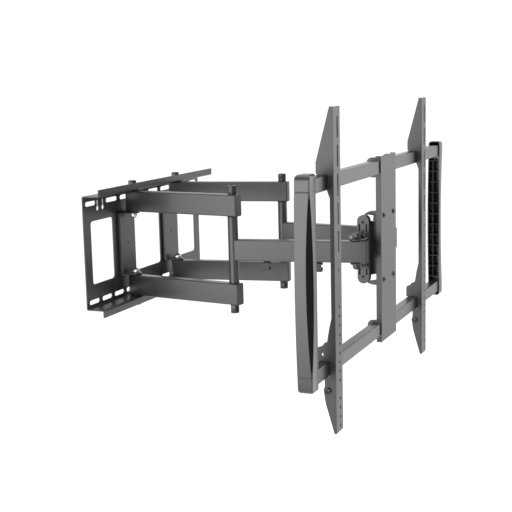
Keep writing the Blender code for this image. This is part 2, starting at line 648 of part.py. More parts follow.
def build_tilt_bolt(side, name, joint):
    """Make one tilt bolt: its shaft passes the ear and the cheek, its head is inside the carrier."""
    inner = EAR_OUTSIDE - CARRIER_GAUGE - FIT
    bolt = cylinder(TILT_BOLT_RADIUS, (side * (inner - OVERLAP), TILT_Y, 0.0),
                    (side * CHEEK_OUTSIDE, TILT_Y, 0.0))
    fuse(bolt, cylinder(TILT_HEAD_RADIUS, (side * (inner - TILT_HEAD_HEIGHT), TILT_Y, 0.0),
                        (side * inner, TILT_Y, 0.0), segments=6))
    finish(bolt, f"{name}_tilt_bolt", HARDWARE, joint)


def build_tilt_carrier(joint):
    """Make the tilting U: a front web with level slots and two round-cornered ears."""
    tall = CARRIER_HEIGHT / 2
    web_back = CARRIER_FRONT + CARRIER_GAUGE
    width = EAR_OUTSIDE - 0.0005
    travel = Vector((SCREW_X, SCREW_Z)).length * 2 * LEVEL_TURN
    tangent = atan2(SCREW_Z, SCREW_X) + pi / 2
    slots = []
    for x_sign in (-1, 1):
        for z_sign in (-1, 1):
            slots.append(long_hole((x_sign * SCREW_X, z_sign * SCREW_Z), travel + 2 * SCREW_RADIUS + 0.003,
                                   2 * SCREW_RADIUS + 0.0016, x_sign * z_sign * tangent))
    web = rounded_box((-width, -tall), (width, tall), 0.002, 2)
    carrier = sheet([web] + slots, "XZ", CARRIER_FRONT, web_back)
    ear = [(CARRIER_FRONT, -tall)]
    ear += arc((CARRIER_BACK - EAR_CORNER, -tall + EAR_CORNER), EAR_CORNER, -pi / 2, 0.0, 8)
    ear += arc((CARRIER_BACK - EAR_CORNER, tall - EAR_CORNER), EAR_CORNER, 0.0, pi / 2, 8)
    ear += [(CARRIER_FRONT, tall)]
    holes = [circle((TILT_Y, 0.0), TILT_BOLT_RADIUS + RUNNING, ROUND_SEGMENTS)]
    for middle in (pi / 2 + BEAN_LEAN, -pi / 2 - BEAN_LEAN):
        holes.append(bean((TILT_Y, 0.0), BEAN_RADIUS, BEAN_WIDTH, middle, BEAN_HALF_ANGLE))
    for side in (-1, 1):
        faces = sorted((side * (EAR_OUTSIDE - CARRIER_GAUGE), side * EAR_OUTSIDE))
        fuse(carrier, sheet([ear] + holes, "YZ", faces[0], faces[1]))
    return finish(carrier, "tilt_carrier", STEEL, joint)


# ================================================================ column and frame
def column_side_outline():
    """Return a column side: a narrow flange with a round ear behind each rail, as (y, z) points."""
    back = COLUMN_FRONT + COLUMN_SIDE
    ear_back = COLUMN_FRONT + RAIL_EAR_DEPTH
    radius = 0.014
    points = [(COLUMN_FRONT, COLUMN_BOTTOM), (back, COLUMN_BOTTOM)]
    for middle in (RAIL_BOTTOM_Z, RAIL_TOP_Z):
        points += [(back, middle - RAIL_EAR_HALF)]
        points += arc((ear_back - radius, middle - RAIL_EAR_HALF + radius), radius, -pi / 2, 0.0, 5)
        points += arc((ear_back - radius, middle + RAIL_EAR_HALF - radius), radius, 0.0, pi / 2, 5)
        points += [(back, middle + RAIL_EAR_HALF)]
    return points + [(back, COLUMN_TOP), (COLUMN_FRONT, COLUMN_TOP)]


def build_column(joint):
    """Make the vertical column that carries both rails."""
    half = COLUMN_WIDTH / 2
    holes = []
    for x_sign in (-1, 1):
        for z_sign in (-1, 1):
            spot = (x_sign * SCREW_X, z_sign * SCREW_Z)
            holes.append(circle(spot, SCREW_RADIUS + FIT, SMALL_SEGMENTS))
    front = [(-half + 0.0004, COLUMN_BOTTOM + 0.0004), (half - 0.0004, COLUMN_BOTTOM + 0.0004),
             (half - 0.0004, COLUMN_TOP - 0.0004), (-half + 0.0004, COLUMN_TOP - 0.0004)]
    column = sheet([front] + holes, "XZ", COLUMN_FRONT, COLUMN_BACK_FACE)
    gap = FIT
    openings = []
    for middle in (RAIL_BOTTOM_Z, RAIL_TOP_Z):
        openings.append(rounded_box((RAIL_FRONT - gap, middle - RAIL_HEIGHT / 2 - gap),
                                    (RAIL_BACK + gap, middle + RAIL_HEIGHT / 2 + gap), 0.0015, 2))
    for side in (-1, 1):
        faces = sorted((side * (half - COLUMN_GAUGE), side * half))
        fuse(column, sheet([column_side_outline()] + openings, "YZ", faces[0], faces[1]))
    finish(column, "column", STEEL, joint)
    tip = CARRIER_FRONT + CARRIER_GAUGE + 0.004
    number = 0
    for z_sign in (1, -1):
        for x_sign in (-1, 1):
            number += 1
            spot = (x_sign * SCREW_X, z_sign * SCREW_Z)
            seat = COLUMN_FRONT - FIT
            screw = cylinder(SCREW_RADIUS, (spot[0], tip, spot[1]), (spot[0], seat - OVERLAP, spot[1]),
                             segments=SMALL_SEGMENTS)
            fuse(screw, cylinder(SCREW_HEAD_RADIUS, (spot[0], seat, spot[1]),
                                 (spot[0], seat - SCREW_HEAD_HEIGHT, spot[1]), segments=16,
                                 top_radius=SCREW_HEAD_RADIUS * 0.6))
            finish(screw, f"column_screw_{number}", HARDWARE, joint)


def build_rail(middle, name, joint):
    """Make one horizontal rail tube."""
    low = (RAIL_FRONT, middle - RAIL_HEIGHT / 2)
    high = (RAIL_BACK, middle + RAIL_HEIGHT / 2)
    bore_low = (low[0] + RAIL_WALL, low[1] + RAIL_WALL)
    bore_high = (high[0] - RAIL_WALL, high[1] - RAIL_WALL)
    rail = sheet([rounded_box(low, high, 0.0025, 2), rounded_box(bore_low, bore_high, 0.001, 2)], "YZ",
                 -RAIL_END, RAIL_END)
    finish(rail, name, STEEL, joint)


def cover_outline(inset):
    """Return a side cover's outline, with its bowed back edge, as (y, z) points."""
    front, back = COVER_FRONT + inset, COVER_BACK - inset
    low, high = COVER_BOTTOM + inset, COVER_TOP - inset
    radius = COVER_CORNER - min(inset, COVER_CORNER / 2)
    points = arc((front + radius, high - radius), radius, pi / 2, pi, 4)
    points += arc((front + radius, low + radius), radius, pi, 1.5 * pi, 4)
    bow_low, bow_high = low + radius, high - radius
    steps = 12
    points += [(back - radius, low)]
    for index in range(steps + 1):
        share = index / steps
        bulge = COVER_BOW * (1 - (2 * share - 1) ** 2)
        points.append((back + bulge, bow_low + (bow_high - bow_low) * share))
    return points + [(back - radius, high)]


def build_side_cover(side, name, joint):
    """Make one plastic end cover, open on its inner side and stiffened with ribs."""
    faces = sorted((side * COVER_INSIDE, side * COVER_OUTSIDE))
    cover = sheet([cover_outline(0.0)], "YZ", faces[0], faces[1])
    hollow = sorted((side * (COVER_INSIDE - OVERLAP), side * (COVER_OUTSIDE - COVER_WALL)))
    cut(cover, sheet([cover_outline(COVER_WALL)], "YZ", hollow[0], hollow[1]))
    ribs = sorted((side * (COVER_INSIDE + COVER_RIB_RECESS), side * (COVER_OUTSIDE - COVER_WALL / 2)))
    low = RAIL_BOTTOM_Z + RAIL_HEIGHT / 2 + 0.006
    high = RAIL_TOP_Z - RAIL_HEIGHT / 2 - 0.006
    front, back = COVER_FRONT + COVER_WALL / 2, COVER_BACK - COVER_WALL / 2
    half = COVER_RIB / 2
    count = int((high - low) / COVER_RIB_PITCH)
    start = (high + low - count * COVER_RIB_PITCH) / 2
    middle = (front + back) / 2
    fuse(cover, box((ribs[0], middle - half, start),
                    (ribs[1], middle + half, start + count * COVER_RIB_PITCH)))
    for index in range(count + 1):
        level = start + index * COVER_RIB_PITCH
        fuse(cover, box((ribs[0] + 0.0002, front, level - half), (ribs[1] - 0.0002, back, level + half)))
    finish(cover, f"{name}_side_cover", PLASTIC, joint)


# ================================================================ TV brackets
def tv_side_outline():
    """Return a TV bracket's side with its two rail hooks, as (y, z) points from the front face."""
    notch = TV_AHEAD - FIT
    top, bottom = RAIL_HEIGHT / 2 + FIT, -RAIL_HEIGHT / 2 - FIT
    upper_top, upper_bottom = RAIL_TOP_Z + top, RAIL_TOP_Z + bottom
    lower_top, lower_bottom = RAIL_BOTTOM_Z + top, RAIL_BOTTOM_Z + bottom
    profile = [(0.0, TV_TOP), (TV_NARROW - 0.001, TV_TOP), (TV_WIDE, TV_WIDE_Z), (TV_WIDE, upper_top + 0.003),
               (TV_WIDE - 0.003, upper_top), (notch, upper_top), (notch, upper_bottom),
               (TV_NARROW, upper_bottom - 0.016), (TV_NARROW, lower_top + 0.094), (0.014, lower_top + 0.072),
               (0.019, lower_top + 0.043), (0.025, lower_top + 0.037)]
    profile += arc((0.035, lower_top + 0.023), 0.008, pi / 2, 0.0, 4)
    profile += [(0.043, lower_top), (notch, lower_top), (notch, lower_bottom), (0.026, lower_bottom),
                (0.0255, lower_bottom - 0.023), (0.0285, lower_bottom - 0.029), (0.024, lower_bottom - 0.060),
                (0.005, TV_BOTTOM), (0.0, TV_BOTTOM)]
    return [(TV_FRONT + depth, z) for depth, z in profile]


def build_tv_bracket(low_x, name, joint):
    """Make one vertical bracket for the television, and the screw that locks it to the lower rail."""
    high_x = low_x + TV_WIDTH
    column = low_x + HOLE_COLUMN
    holes = [circle((column, HOLE_CENTRE_Z), HOLE_RADIUS, SMALL_SEGMENTS)]
    for count in list(range(4, 13)) + list(range(14, 18)):
        holes.append(circle((column, HOLE_CENTRE_Z - count * HOLE_PITCH), HOLE_RADIUS, SMALL_SEGMENTS))
    for count in range(1, LONG_COUNT + 1):
        middle = (column, HOLE_CENTRE_Z + count * LONG_PITCH)
        holes.append(long_hole(middle, LONG_HOLE, 2 * HOLE_RADIUS, pi / 2, 5))
    strip = [(low_x + 0.0004, TV_BOTTOM + 0.0004), (high_x - 0.0004, TV_BOTTOM + 0.0004),
             (high_x - 0.0004, TV_TOP - 0.0004), (low_x + 0.0004, TV_TOP - 0.0004)]
    bracket = sheet([strip] + holes, "XZ", TV_FRONT, TV_FRONT + TV_GAUGE)
    ear_hole = circle((TV_FRONT + 0.0285, RAIL_BOTTOM_Z + RAIL_HEIGHT / 2 + 0.0145), 0.0035, SMALL_SEGMENTS)
    lock_hole = circle((TV_FRONT + LOCK_AHEAD, LOCK_Z), LOCK_RADIUS + FIT, SMALL_SEGMENTS)
    for low in (low_x, high_x - TV_GAUGE):
        fuse(bracket, sheet([tv_side_outline(), ear_hole, lock_hole], "YZ", low, low + TV_GAUGE))
    finish(bracket, f"{name}_tv_bracket", STEEL, joint)
    centre = (TV_FRONT + LOCK_AHEAD, LOCK_Z)
    seat = low_x - FIT
    screw = cylinder(LOCK_RADIUS, (seat - OVERLAP, *centre), (high_x + 0.004, *centre),
                     segments=SMALL_SEGMENTS)
    fuse(screw, cylinder(LOCK_HEAD_RADIUS, (seat - LOCK_HEAD_HEIGHT, *centre), (seat, *centre), segments=16))
    finish(screw, f"{name}_locking_screw", HARDWARE, joint)


# ================================================================ assembly
PARTS, CUTTERS = clear_scene()
STEEL = make_material("powder_coated_steel", (0.030, 0.031, 0.033), 0.42, 0.35)
PLASTIC = make_material("black_plastic", (0.018, 0.018, 0.019), 0.45, 0.0)
HARDWARE = make_material("black_hardware", (0.055, 0.055, 0.058), 0.30, 0.9)
ZINC = make_material("zinc_nut", (0.50, 0.50, 0.51), 0.32, 1.0)

build_wall_plate()
for arm_side, arm_name in ((-1, "left"), (1, "right")):
    build_pivot_bracket(arm_side, arm_name)
    for arm_level, level_name in ((1, "upper"), (-1, "lower")):
        build_shoulder_bolt(arm_side, arm_name, arm_level, level_name)

left_shoulder = make_empty("left_shoulder_axis", (-SHOULDER_X, SHOULDER_Y, 0.0))
right_shoulder = make_empty("right_shoulder_axis", (SHOULDER_X, SHOULDER_Y, 0.0))
left_elbow = make_empty("left_elbow_axis", (-ELBOW_X, ELBOW_Y, 0.0), left_shoulder)
right_elbow = make_empty("right_elbow_axis", (ELBOW_X, ELBOW_Y, 0.0), right_shoulder)
head_pivot = make_empty("head_pivot_axis", (-SHOULDER_X, HEAD_Y, 0.0), left_elbow)
tilt_axis = make_empty("tilt_axis", (0.0, TILT_Y, 0.0), head_pivot)
level_axis = make_empty("level_axis", (0.0, COLUMN_FRONT, 0.0), tilt_axis)
left_slide = make_empty("left_slide", (LEFT_TV_X, TV_FRONT, 0.0), level_axis)
right_slide = make_empty("right_slide", (RIGHT_TV_X, TV_FRONT, 0.0), level_axis)

build_rear_arm(-1, "left", left_shoulder)
build_rear_arm(1, "right", right_shoulder)
build_forearm(-1, "left", left_elbow)
build_forearm(1, "right", right_elbow)
build_head_bracket(head_pivot)
for head_side, head_name in ((-1, "left"), (1, "right")):
    build_head_fasteners(head_side, head_name, head_pivot)
    build_tilt_bolt(head_side, head_name, head_pivot)
build_tilt_carrier(tilt_axis)
build_column(level_axis)
build_rail(RAIL_TOP_Z, "upper_rail", level_axis)
build_rail(RAIL_BOTTOM_Z, "lower_rail", level_axis)
build_side_cover(-1, "left", level_axis)
build_side_cover(1, "right", level_axis)
build_tv_bracket(LEFT_TV_X, "left", left_slide)
build_tv_bracket(RIGHT_TV_X, "right", right_slide)
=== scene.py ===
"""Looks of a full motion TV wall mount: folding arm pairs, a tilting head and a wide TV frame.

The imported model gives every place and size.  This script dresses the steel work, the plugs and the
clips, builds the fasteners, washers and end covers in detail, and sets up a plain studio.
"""
import logging
from dataclasses import dataclass, field
from enum import Enum
from math import cos, degrees, pi, radians, sin
from typing import Any, Iterable, Sequence

import bmesh
import bpy
from mathutils import Matrix, Vector


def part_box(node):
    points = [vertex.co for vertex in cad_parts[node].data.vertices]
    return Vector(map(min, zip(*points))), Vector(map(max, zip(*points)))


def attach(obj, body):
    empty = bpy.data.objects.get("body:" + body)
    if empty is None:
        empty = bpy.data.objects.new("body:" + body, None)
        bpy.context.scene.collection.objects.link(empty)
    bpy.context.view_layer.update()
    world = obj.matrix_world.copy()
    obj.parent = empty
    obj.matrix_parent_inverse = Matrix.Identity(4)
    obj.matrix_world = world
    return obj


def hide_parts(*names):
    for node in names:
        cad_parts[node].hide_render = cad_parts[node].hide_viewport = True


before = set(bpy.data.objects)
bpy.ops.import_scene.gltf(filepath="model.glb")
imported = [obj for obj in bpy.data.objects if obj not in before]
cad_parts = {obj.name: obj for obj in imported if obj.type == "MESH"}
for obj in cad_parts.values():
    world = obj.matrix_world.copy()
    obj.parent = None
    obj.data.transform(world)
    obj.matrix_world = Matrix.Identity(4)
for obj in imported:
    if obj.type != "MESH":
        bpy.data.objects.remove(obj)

LOG = logging.getLogger("tv_wall_mount")
MM = 0.001
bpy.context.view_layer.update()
SAME_EDGE = 1e-6          # an edge this close to a height lies at it
SAME_FACE = 1e-5          # a face whose middle is this close to a height lies at it
SMALL_STEPS = 24          # steps round a small shaft


class Slot(Enum):
    """Material slot names."""

    STEEL = "powder_coated_steel"
    PLASTIC = "black_plastic"
    HARDWARE = "black_hardware"
    ZINC = "zinc_plated_steel"


class Level(Enum):
    """The two heights at which the arm pairs are bolted."""

    UPPER = 1
    LOWER = -1


class Side(Enum):
    """The two sides of the mount; left is towards -X."""

    LEFT = -1
    RIGHT = 1

    @property
    def word(self) -> str:
        """Return the side's word as the node names use it."""
        return self.name.lower()


# ---------------------------------------------------------------- materials
def linear(code: str) -> tuple[float, float, float, float]:
    """Turn an sRGB hex value into linear RGBA.

    Args:
        code: Six hex digits, such as "1c1d1f".

    Returns:
        Linear red, green, blue and an alpha of one.
    """
    parts = []
    for start in (0, 2, 4):
        value = int(code[start:start + 2], 16) / 255
        parts.append(value / 12.92 if value <= 0.04045 else ((value + 0.055) / 1.055) ** 2.4)
    return (parts[0], parts[1], parts[2], 1.0)


def add_node(tree: bpy.types.NodeTree, kind: str, settings: dict[str, Any] | None = None,
             links: dict[str, bpy.types.NodeSocket] | None = None) -> bpy.types.Node:
    """Add one node to a tree.

    Args:
        tree: The node tree.
        kind: The node's type name.
        settings: Attribute or input names with their values.
        links: Input names with the sockets that feed them.

    Returns:
        The new node.
    """
    node = tree.nodes.new(kind)
    for name, value in (settings or {}).items():
        if name in node.inputs:
            node.inputs[name].default_value = value
        else:
            setattr(node, name, value)
    for name, socket in (links or {}).items():
        tree.links.new(socket, node.inputs[name])
    return node


def blend_ramp(tree: bpy.types.NodeTree, source: bpy.types.NodeSocket, low: float, high: float,
               dark: Sequence[float], light: Sequence[float]) -> bpy.types.NodeSocket:
    """Map a grey value to a blend of two colours.

    Args:
        tree: The node tree.
        source: The grey value.
        low: Value that gives the dark colour.
        high: Value that gives the light colour.
        dark: Linear RGBA at the low end.
        light: Linear RGBA at the high end.

    Returns:
        The colour socket.
    """
    ramp = add_node(tree, "ShaderNodeValToRGB", links={"Fac": source})
    ramp.color_ramp.elements[0].position = low
    ramp.color_ramp.elements[0].color = dark
    ramp.color_ramp.elements[1].position = high
    ramp.color_ramp.elements[1].color = light
    return ramp.outputs["Color"]


@dataclass(frozen=True)
class Finish:
    """A surface with a base colour, an edge colour (painted dark edge shade on the coated parts, rubbed wear
    on the others), fine grain and slow variation.

    The grain is drawn somewhat coarser than the real one, because the true size is too fine to show.
    """

    name: str
    slot: Slot
    colour: str
    cloud_colour: str
    edge_colour: str
    metallic: float
    rough_low: float
    rough_high: float
    grain_mm: float
    grain_depth_mm: float
    cloud_mm: float = 60.0
    edge_mm: float = 0.7
    coat: float = 0.0
    specular: float = 0.5

    def material(self) -> bpy.types.Material:
        """Build the finish's node material.

        Returns:
            The material.
        """
        made = bpy.data.materials.new(self.name)
        made.use_nodes = True
        tree = made.node_tree
        shader = tree.nodes["Principled BSDF"]
        shader.inputs["Metallic"].default_value = self.metallic
        shader.inputs["Coat Weight"].default_value = self.coat
        shader.inputs["Coat Roughness"].default_value = 0.25
        shader.inputs["Specular IOR Level"].default_value = self.specular
        place = add_node(tree, "ShaderNodeTexCoord").outputs["Object"]
        cloud = add_node(tree, "ShaderNodeTexNoise", {"Scale": 1 / (self.cloud_mm * MM), "Detail": 3.0},
                         {"Vector": place}).outputs["Fac"]
        grain = add_node(tree, "ShaderNodeTexNoise", {"Scale": 1 / (self.grain_mm * MM), "Detail": 4.0,
                                                      "Roughness": 0.6}, {"Vector": place}).outputs["Fac"]
        speck = add_node(tree, "ShaderNodeTexVoronoi", {"Scale": 0.6 / (self.grain_mm * MM)},
                         {"Vector": place}).outputs["Distance"]
        colour = blend_ramp(tree, cloud, 0.35, 0.65, linear(self.colour), linear(self.cloud_colour))
        edge = add_node(tree, "ShaderNodeBevel", {"samples": 4, "Radius": self.edge_mm * MM})
        rounded = edge.outputs["Normal"]
        facing = add_node(tree, "ShaderNodeNewGeometry").outputs["Normal"]
        turn = add_node(tree, "ShaderNodeVectorMath", {"operation": "DOT_PRODUCT"}, {"Vector": rounded})
        tree.links.new(facing, turn.inputs[1])
        # Edge mask, made patchy by the slow variation. On the coated steel, tube and satin ABS the edge
        # colour mixed in here is a painted dark edge line standing for the shade on rounded edges. On the
        # hardware, moulded ABS and nylon it is a lighter rubbed edge.
        edge_wear_and_shade = blend_ramp(tree, turn.outputs["Value"], 0.80, 0.985, (1.0, 1.0, 1.0, 1.0),
                          (0.0, 0.0, 0.0, 1.0))
        patchy = add_node(tree, "ShaderNodeMath", {"operation": "MULTIPLY"}, {"Value": edge_wear_and_shade})
        tree.links.new(cloud, patchy.inputs[1])
        mixed = add_node(tree, "ShaderNodeMix", {"data_type": "RGBA"}, {"Factor": patchy.outputs["Value"]})
        colours = [socket for socket in mixed.inputs if socket.type == "RGBA"]
        tree.links.new(colour, colours[0])
        colours[1].default_value = linear(self.edge_colour)
        result = [socket for socket in mixed.outputs if socket.type == "RGBA"][0]
        tree.links.new(result, shader.inputs["Base Color"])
        rough = add_node(tree, "ShaderNodeMapRange", {"To Min": self.rough_low, "To Max": self.rough_high},
                         {"Value": grain})
        tree.links.new(rough.outputs["Result"], shader.inputs["Roughness"])
        height = add_node(tree, "ShaderNodeMath", {"operation": "ADD"}, {"Value": grain})
        tree.links.new(speck, height.inputs[1])
        bump = add_node(tree, "ShaderNodeBump", {"Strength": 0.35, "Distance": self.grain_depth_mm * MM},
                        {"Height": height.outputs["Value"], "Normal": rounded})
        tree.links.new(bump.outputs["Normal"], shader.inputs["Normal"])
        return made


# Epoxy-polyester powder coat on pressed steel: a satin skin with a fine orange peel that
# breaks up reflections; bent and sheared edges get a near-black painted edge shade, the thin dark lines they
# show.
POWDER_COAT = Finish("powder_coated_steel", Slot.STEEL, "151617", "1b1c1e", "060606", 0.0,
                     0.34, 0.46, 1.6, 0.06, edge_mm=1.6, coat=0.15, specular=0.5)
# The same coat on drawn tube, which is smoother than pressed sheet, with the same near-black painted edge
# shade.
TUBE_COAT = Finish("powder_coated_tube", Slot.STEEL, "17181a", "1c1d1f", "060606", 0.0,
                   0.30, 0.40, 1.4, 0.04, cloud_mm=120.0, edge_mm=2.0, coat=0.25, specular=0.5)
# Injection-moulded ABS with a fine spark-eroded texture: darker and a little softer in its shine.
MOULDED_ABS = Finish("moulded_abs", Slot.PLASTIC, "09090a", "0d0d0e", "1c1c1d", 0.0,
                     0.38, 0.50, 0.8, 0.04, edge_mm=0.8)
# ABS end covers with a smoother, satin moulding that shows long soft reflections; their darker edge colour is
# painted edge shade.
SATIN_ABS = Finish("satin_abs", Slot.PLASTIC, "17181a", "1b1c1d", "0a0a0b", 0.0,
                   0.24, 0.34, 1.2, 0.02, cloud_mm=150.0, edge_mm=1.5, coat=0.3, specular=0.5)
# Painted shade of the crescent grooves: a near-black strip of matt ABS with a coarse spark-eroded texture
# that swallows most of the light; it stands for the shade in the groove.
GROOVE_SHADE_ABS = Finish("dull_abs", Slot.PLASTIC, "020202", "040404", "0a0a0b", 0.0,
                  0.55, 0.65, 1.0, 0.05, cloud_mm=150.0, edge_mm=0.5, specular=0.1)
# Black oxide on turned and forged steel: a thin dark conversion layer that keeps the metal's gloss.
BLACK_OXIDE = Finish("black_oxide_steel", Slot.HARDWARE, "2c2c2e", "38383a", "7a7a7c", 0.85,
                     0.14, 0.26, 0.8, 0.02, cloud_mm=12.0, edge_mm=0.5)
# Zinc plate on cold-formed nuts: bright, slightly cloudy metal.
ZINC_PLATE = Finish("zinc_plated_steel", Slot.ZINC, "a9abad", "bfc1c3", "d8d9da", 1.0,
                    0.22, 0.36, 0.8, 0.02, cloud_mm=8.0, edge_mm=0.4)
# Cast nylon washers: matt, almost black and slightly waxy.
NYLON = Finish("cast_nylon", Slot.PLASTIC, "0c0c0d", "111112", "1c1c1d", 0.0, 0.45, 0.6, 0.8, 0.02)


# ---------------------------------------------------------------- mesh helpers
@dataclass
class Workshop:
    """Makes finished pieces from bmesh shapes and dresses the CAD nodes."""

    materials: dict[str, bpy.types.Material] = field(default_factory=dict)
    made: int = 0

    def stock(self, finish: Finish) -> bpy.types.Material:
        """Return the finish's material, made once.

        Args:
            finish: The finish.

        Returns:
            Its material.
        """
        if finish.name not in self.materials:
            self.materials[finish.name] = finish.material()
        return self.materials[finish.name]

    def keep(self, shape: bmesh.types.BMesh, name: str, finish: Finish, body: str,
             place: Matrix = Matrix.Identity(4), replaces: Sequence[str] = (),
             angle: float = 40.0) -> bpy.types.Object:
        """Turn a shape into a piece of the object.

        Args:
            shape: The shape, in its own coordinates; it is freed.
            name: The piece's name.
            finish: Its surface.
            body: The CAD body that it rides on.
            place: Where the shape goes.
            replaces: CAD nodes that it stands for.
            angle: Edges sharper than this many degrees stay sharp.

        Returns:
            The new object.
        """
        shape.transform(place)
        mesh = bpy.data.meshes.new(name)
        shape.to_mesh(mesh)
        shape.free()
        mesh.shade_smooth()
        mesh.set_sharp_from_angle(angle=radians(angle))
        piece = bpy.data.objects.new(name, mesh)
        bpy.context.scene.collection.objects.link(piece)
        mesh.materials.append(self.stock(finish))
        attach(piece, body)
        if replaces:
            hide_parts(*replaces)
        self.made += 1
        LOG.info("piece %s on %s", name, body)
        return piece

    def dress(self, node: str, finish: Finish, edge_mm: float = 0.5) -> None:
        """Give a CAD node its finish and soften its edges.

        Args:
            node: The CAD node's name.
            finish: Its surface.
            edge_mm: Width of the broken edge.
        """
        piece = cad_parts[node]
        piece.data.materials.clear()
        piece.data.materials.append(self.stock(finish))
        piece.data.shade_smooth()
        weld = piece.modifiers.new("merge_triangles", "WELD")
        weld.merge_threshold = 0.00001
        edge = piece.modifiers.new("broken_edge", "BEVEL")
        edge.width = edge_mm * MM
        edge.segments = 2
        edge.limit_method = "ANGLE"
        edge.angle_limit = radians(35)
        edge.harden_normals = False
        normals = piece.modifiers.new("face_normals", "WEIGHTED_NORMAL")
        normals.keep_sharp = True
        normals.weight = 100
        LOG.info("dressed %s", node)


def prism(sides: int, radius: float, low: float, high: float) -> bmesh.types.BMesh:
    """Return an upright prism.

    Args:
        sides: Number of sides.
        radius: Corner radius.
        low: Height of its foot.
        high: Height of its top.

    Returns:
        The new shape.
    """
    shape = bmesh.new()
    bmesh.ops.create_cone(shape, cap_ends=True, segments=sides, radius1=radius, radius2=radius,
                          depth=high - low)
    bmesh.ops.translate(shape, verts=shape.verts, vec=(0.0, 0.0, (high + low) / 2))
    return shape


def block(low: Sequence[float], high: Sequence[float]) -> bmesh.types.BMesh:
    """Return a box between two corners.

    Args:
        low: The lowest corner.
        high: The highest corner.

    Returns:
        The new shape.
    """
    shape = bmesh.new()
    low, high = Vector(low), Vector(high)
    bmesh.ops.create_cube(shape, size=1.0)
    bmesh.ops.scale(shape, verts=shape.verts, vec=high - low)
    bmesh.ops.translate(shape, verts=shape.verts, vec=(low + high) / 2)
    return shape


def soften(shape: bmesh.types.BMesh, edges: Iterable[bmesh.types.BMEdge], width: float,
           segments: int = 2) -> None:
    """Bevel some edges of a shape.

    Args:
        shape: The shape.
        edges: The edges to bevel.
        width: Width of the bevel.
        segments: Its number of steps.
    """
    bmesh.ops.bevel(shape, geom=list(edges), offset=width, offset_type="OFFSET", affect="EDGES",
                    segments=segments, profile=0.5, clamp_overlap=True, material=-1)


def turned(profile: Sequence[tuple[float, float]], segments: int = 40,
           closed: bool = False) -> bmesh.types.BMesh:
    """Spin a profile round the Z axis.

    Args:
        profile: Points as (radius, height), from the foot upwards.
        segments: Steps of the full turn.
        closed: Whether the profile is a closed ring, as a washer's is.

    Returns:
        The turned shape, with its faces pointing outwards.
    """
    shape = bmesh.new()
    verts = [shape.verts.new((radius, 0.0, height)) for radius, height in profile]
    edges = [shape.edges.new(pair) for pair in zip(verts, verts[1:])]
    if closed:
        edges.append(shape.edges.new((verts[-1], verts[0])))
    bmesh.ops.spin(shape, geom=verts + edges, cent=(0.0, 0.0, 0.0), axis=(0.0, 0.0, 1.0),
                   dvec=(0.0, 0.0, 0.0), angle=2 * pi, steps=segments, use_merge=True)
    bmesh.ops.remove_doubles(shape, verts=shape.verts, dist=1e-6)
    bmesh.ops.recalc_face_normals(shape, faces=shape.faces)
    return shape


def join(first: bmesh.types.BMesh, *others: bmesh.types.BMesh) -> bmesh.types.BMesh:
    """Put other shapes into the first one and free them.

    Args:
        first: The shape that takes the others in.
        others: The shapes to add.

    Returns:
        The first shape.
    """
    for other in others:
        mesh = bpy.data.meshes.new("part")
        other.to_mesh(mesh)
        other.free()
        first.from_mesh(mesh)
        bpy.data.meshes.remove(mesh)
    return first


def rising_edges(shape: bmesh.types.BMesh, least: float) -> list[bmesh.types.BMEdge]:
    """Return the edges that rise by more than a given height."""
    return [edge for edge in shape.edges if abs(edge.verts[0].co.z - edge.verts[1].co.z) > least]


def top_faces(shape: bmesh.types.BMesh, height: float) -> list[bmesh.types.BMFace]:
    """Return the level faces at a height."""
    return [face for face in shape.faces
            if face.normal.z > 0.99 and face.calc_center_median().z > height - SAME_FACE]


def hex_head(radius: float, low: float, high: float, dish: float = 0.5 * MM) -> bmesh.types.BMesh:
    """Return a forged hexagonal head with rounded corners, a chamfered crown and a shallow dish.

    Args:
        radius: Corner radius.
        low: Height of its foot.
        high: Height of its crown.
        dish: Depth of the dish.

    Returns:
        The new shape.
    """
    shape = prism(6, radius, low, high)
    soften(shape, rising_edges(shape, 0.5 * (high - low)), 0.12 * radius, 3)
    rim = [edge for edge in shape.edges if min(vert.co.z for vert in edge.verts) > high - SAME_EDGE]
    soften(shape, rim, 0.14 * radius, 3)
    foot = [edge for edge in shape.edges if max(vert.co.z for vert in edge.verts) < low + SAME_EDGE]
    soften(shape, foot, 0.05 * radius, 2)
    crown = top_faces(shape, high)
    bmesh.ops.inset_region(shape, faces=crown, thickness=0.28 * radius, depth=0.0)
    bmesh.ops.inset_region(shape, faces=crown, thickness=0.08 * radius, depth=-dish)
    return shape


def washer(inner: float, outer: float, low: float, high: float) -> bmesh.types.BMesh:
    """Return a flat washer with rounded rims.

    Args:
        inner: Radius of the hole.
        outer: Outer radius.
        low: Height of its lower face.
        high: Height of its upper face.

    Returns:
        The new shape.
    """
    ease = 0.22 * (high - low)
    ring = [(inner + ease, low), (outer - ease, low), (outer, low + ease), (outer, high - ease),
            (outer - ease, high), (inner + ease, high), (inner, high - ease), (inner, low + ease)]
    return turned(ring, 48, closed=True)


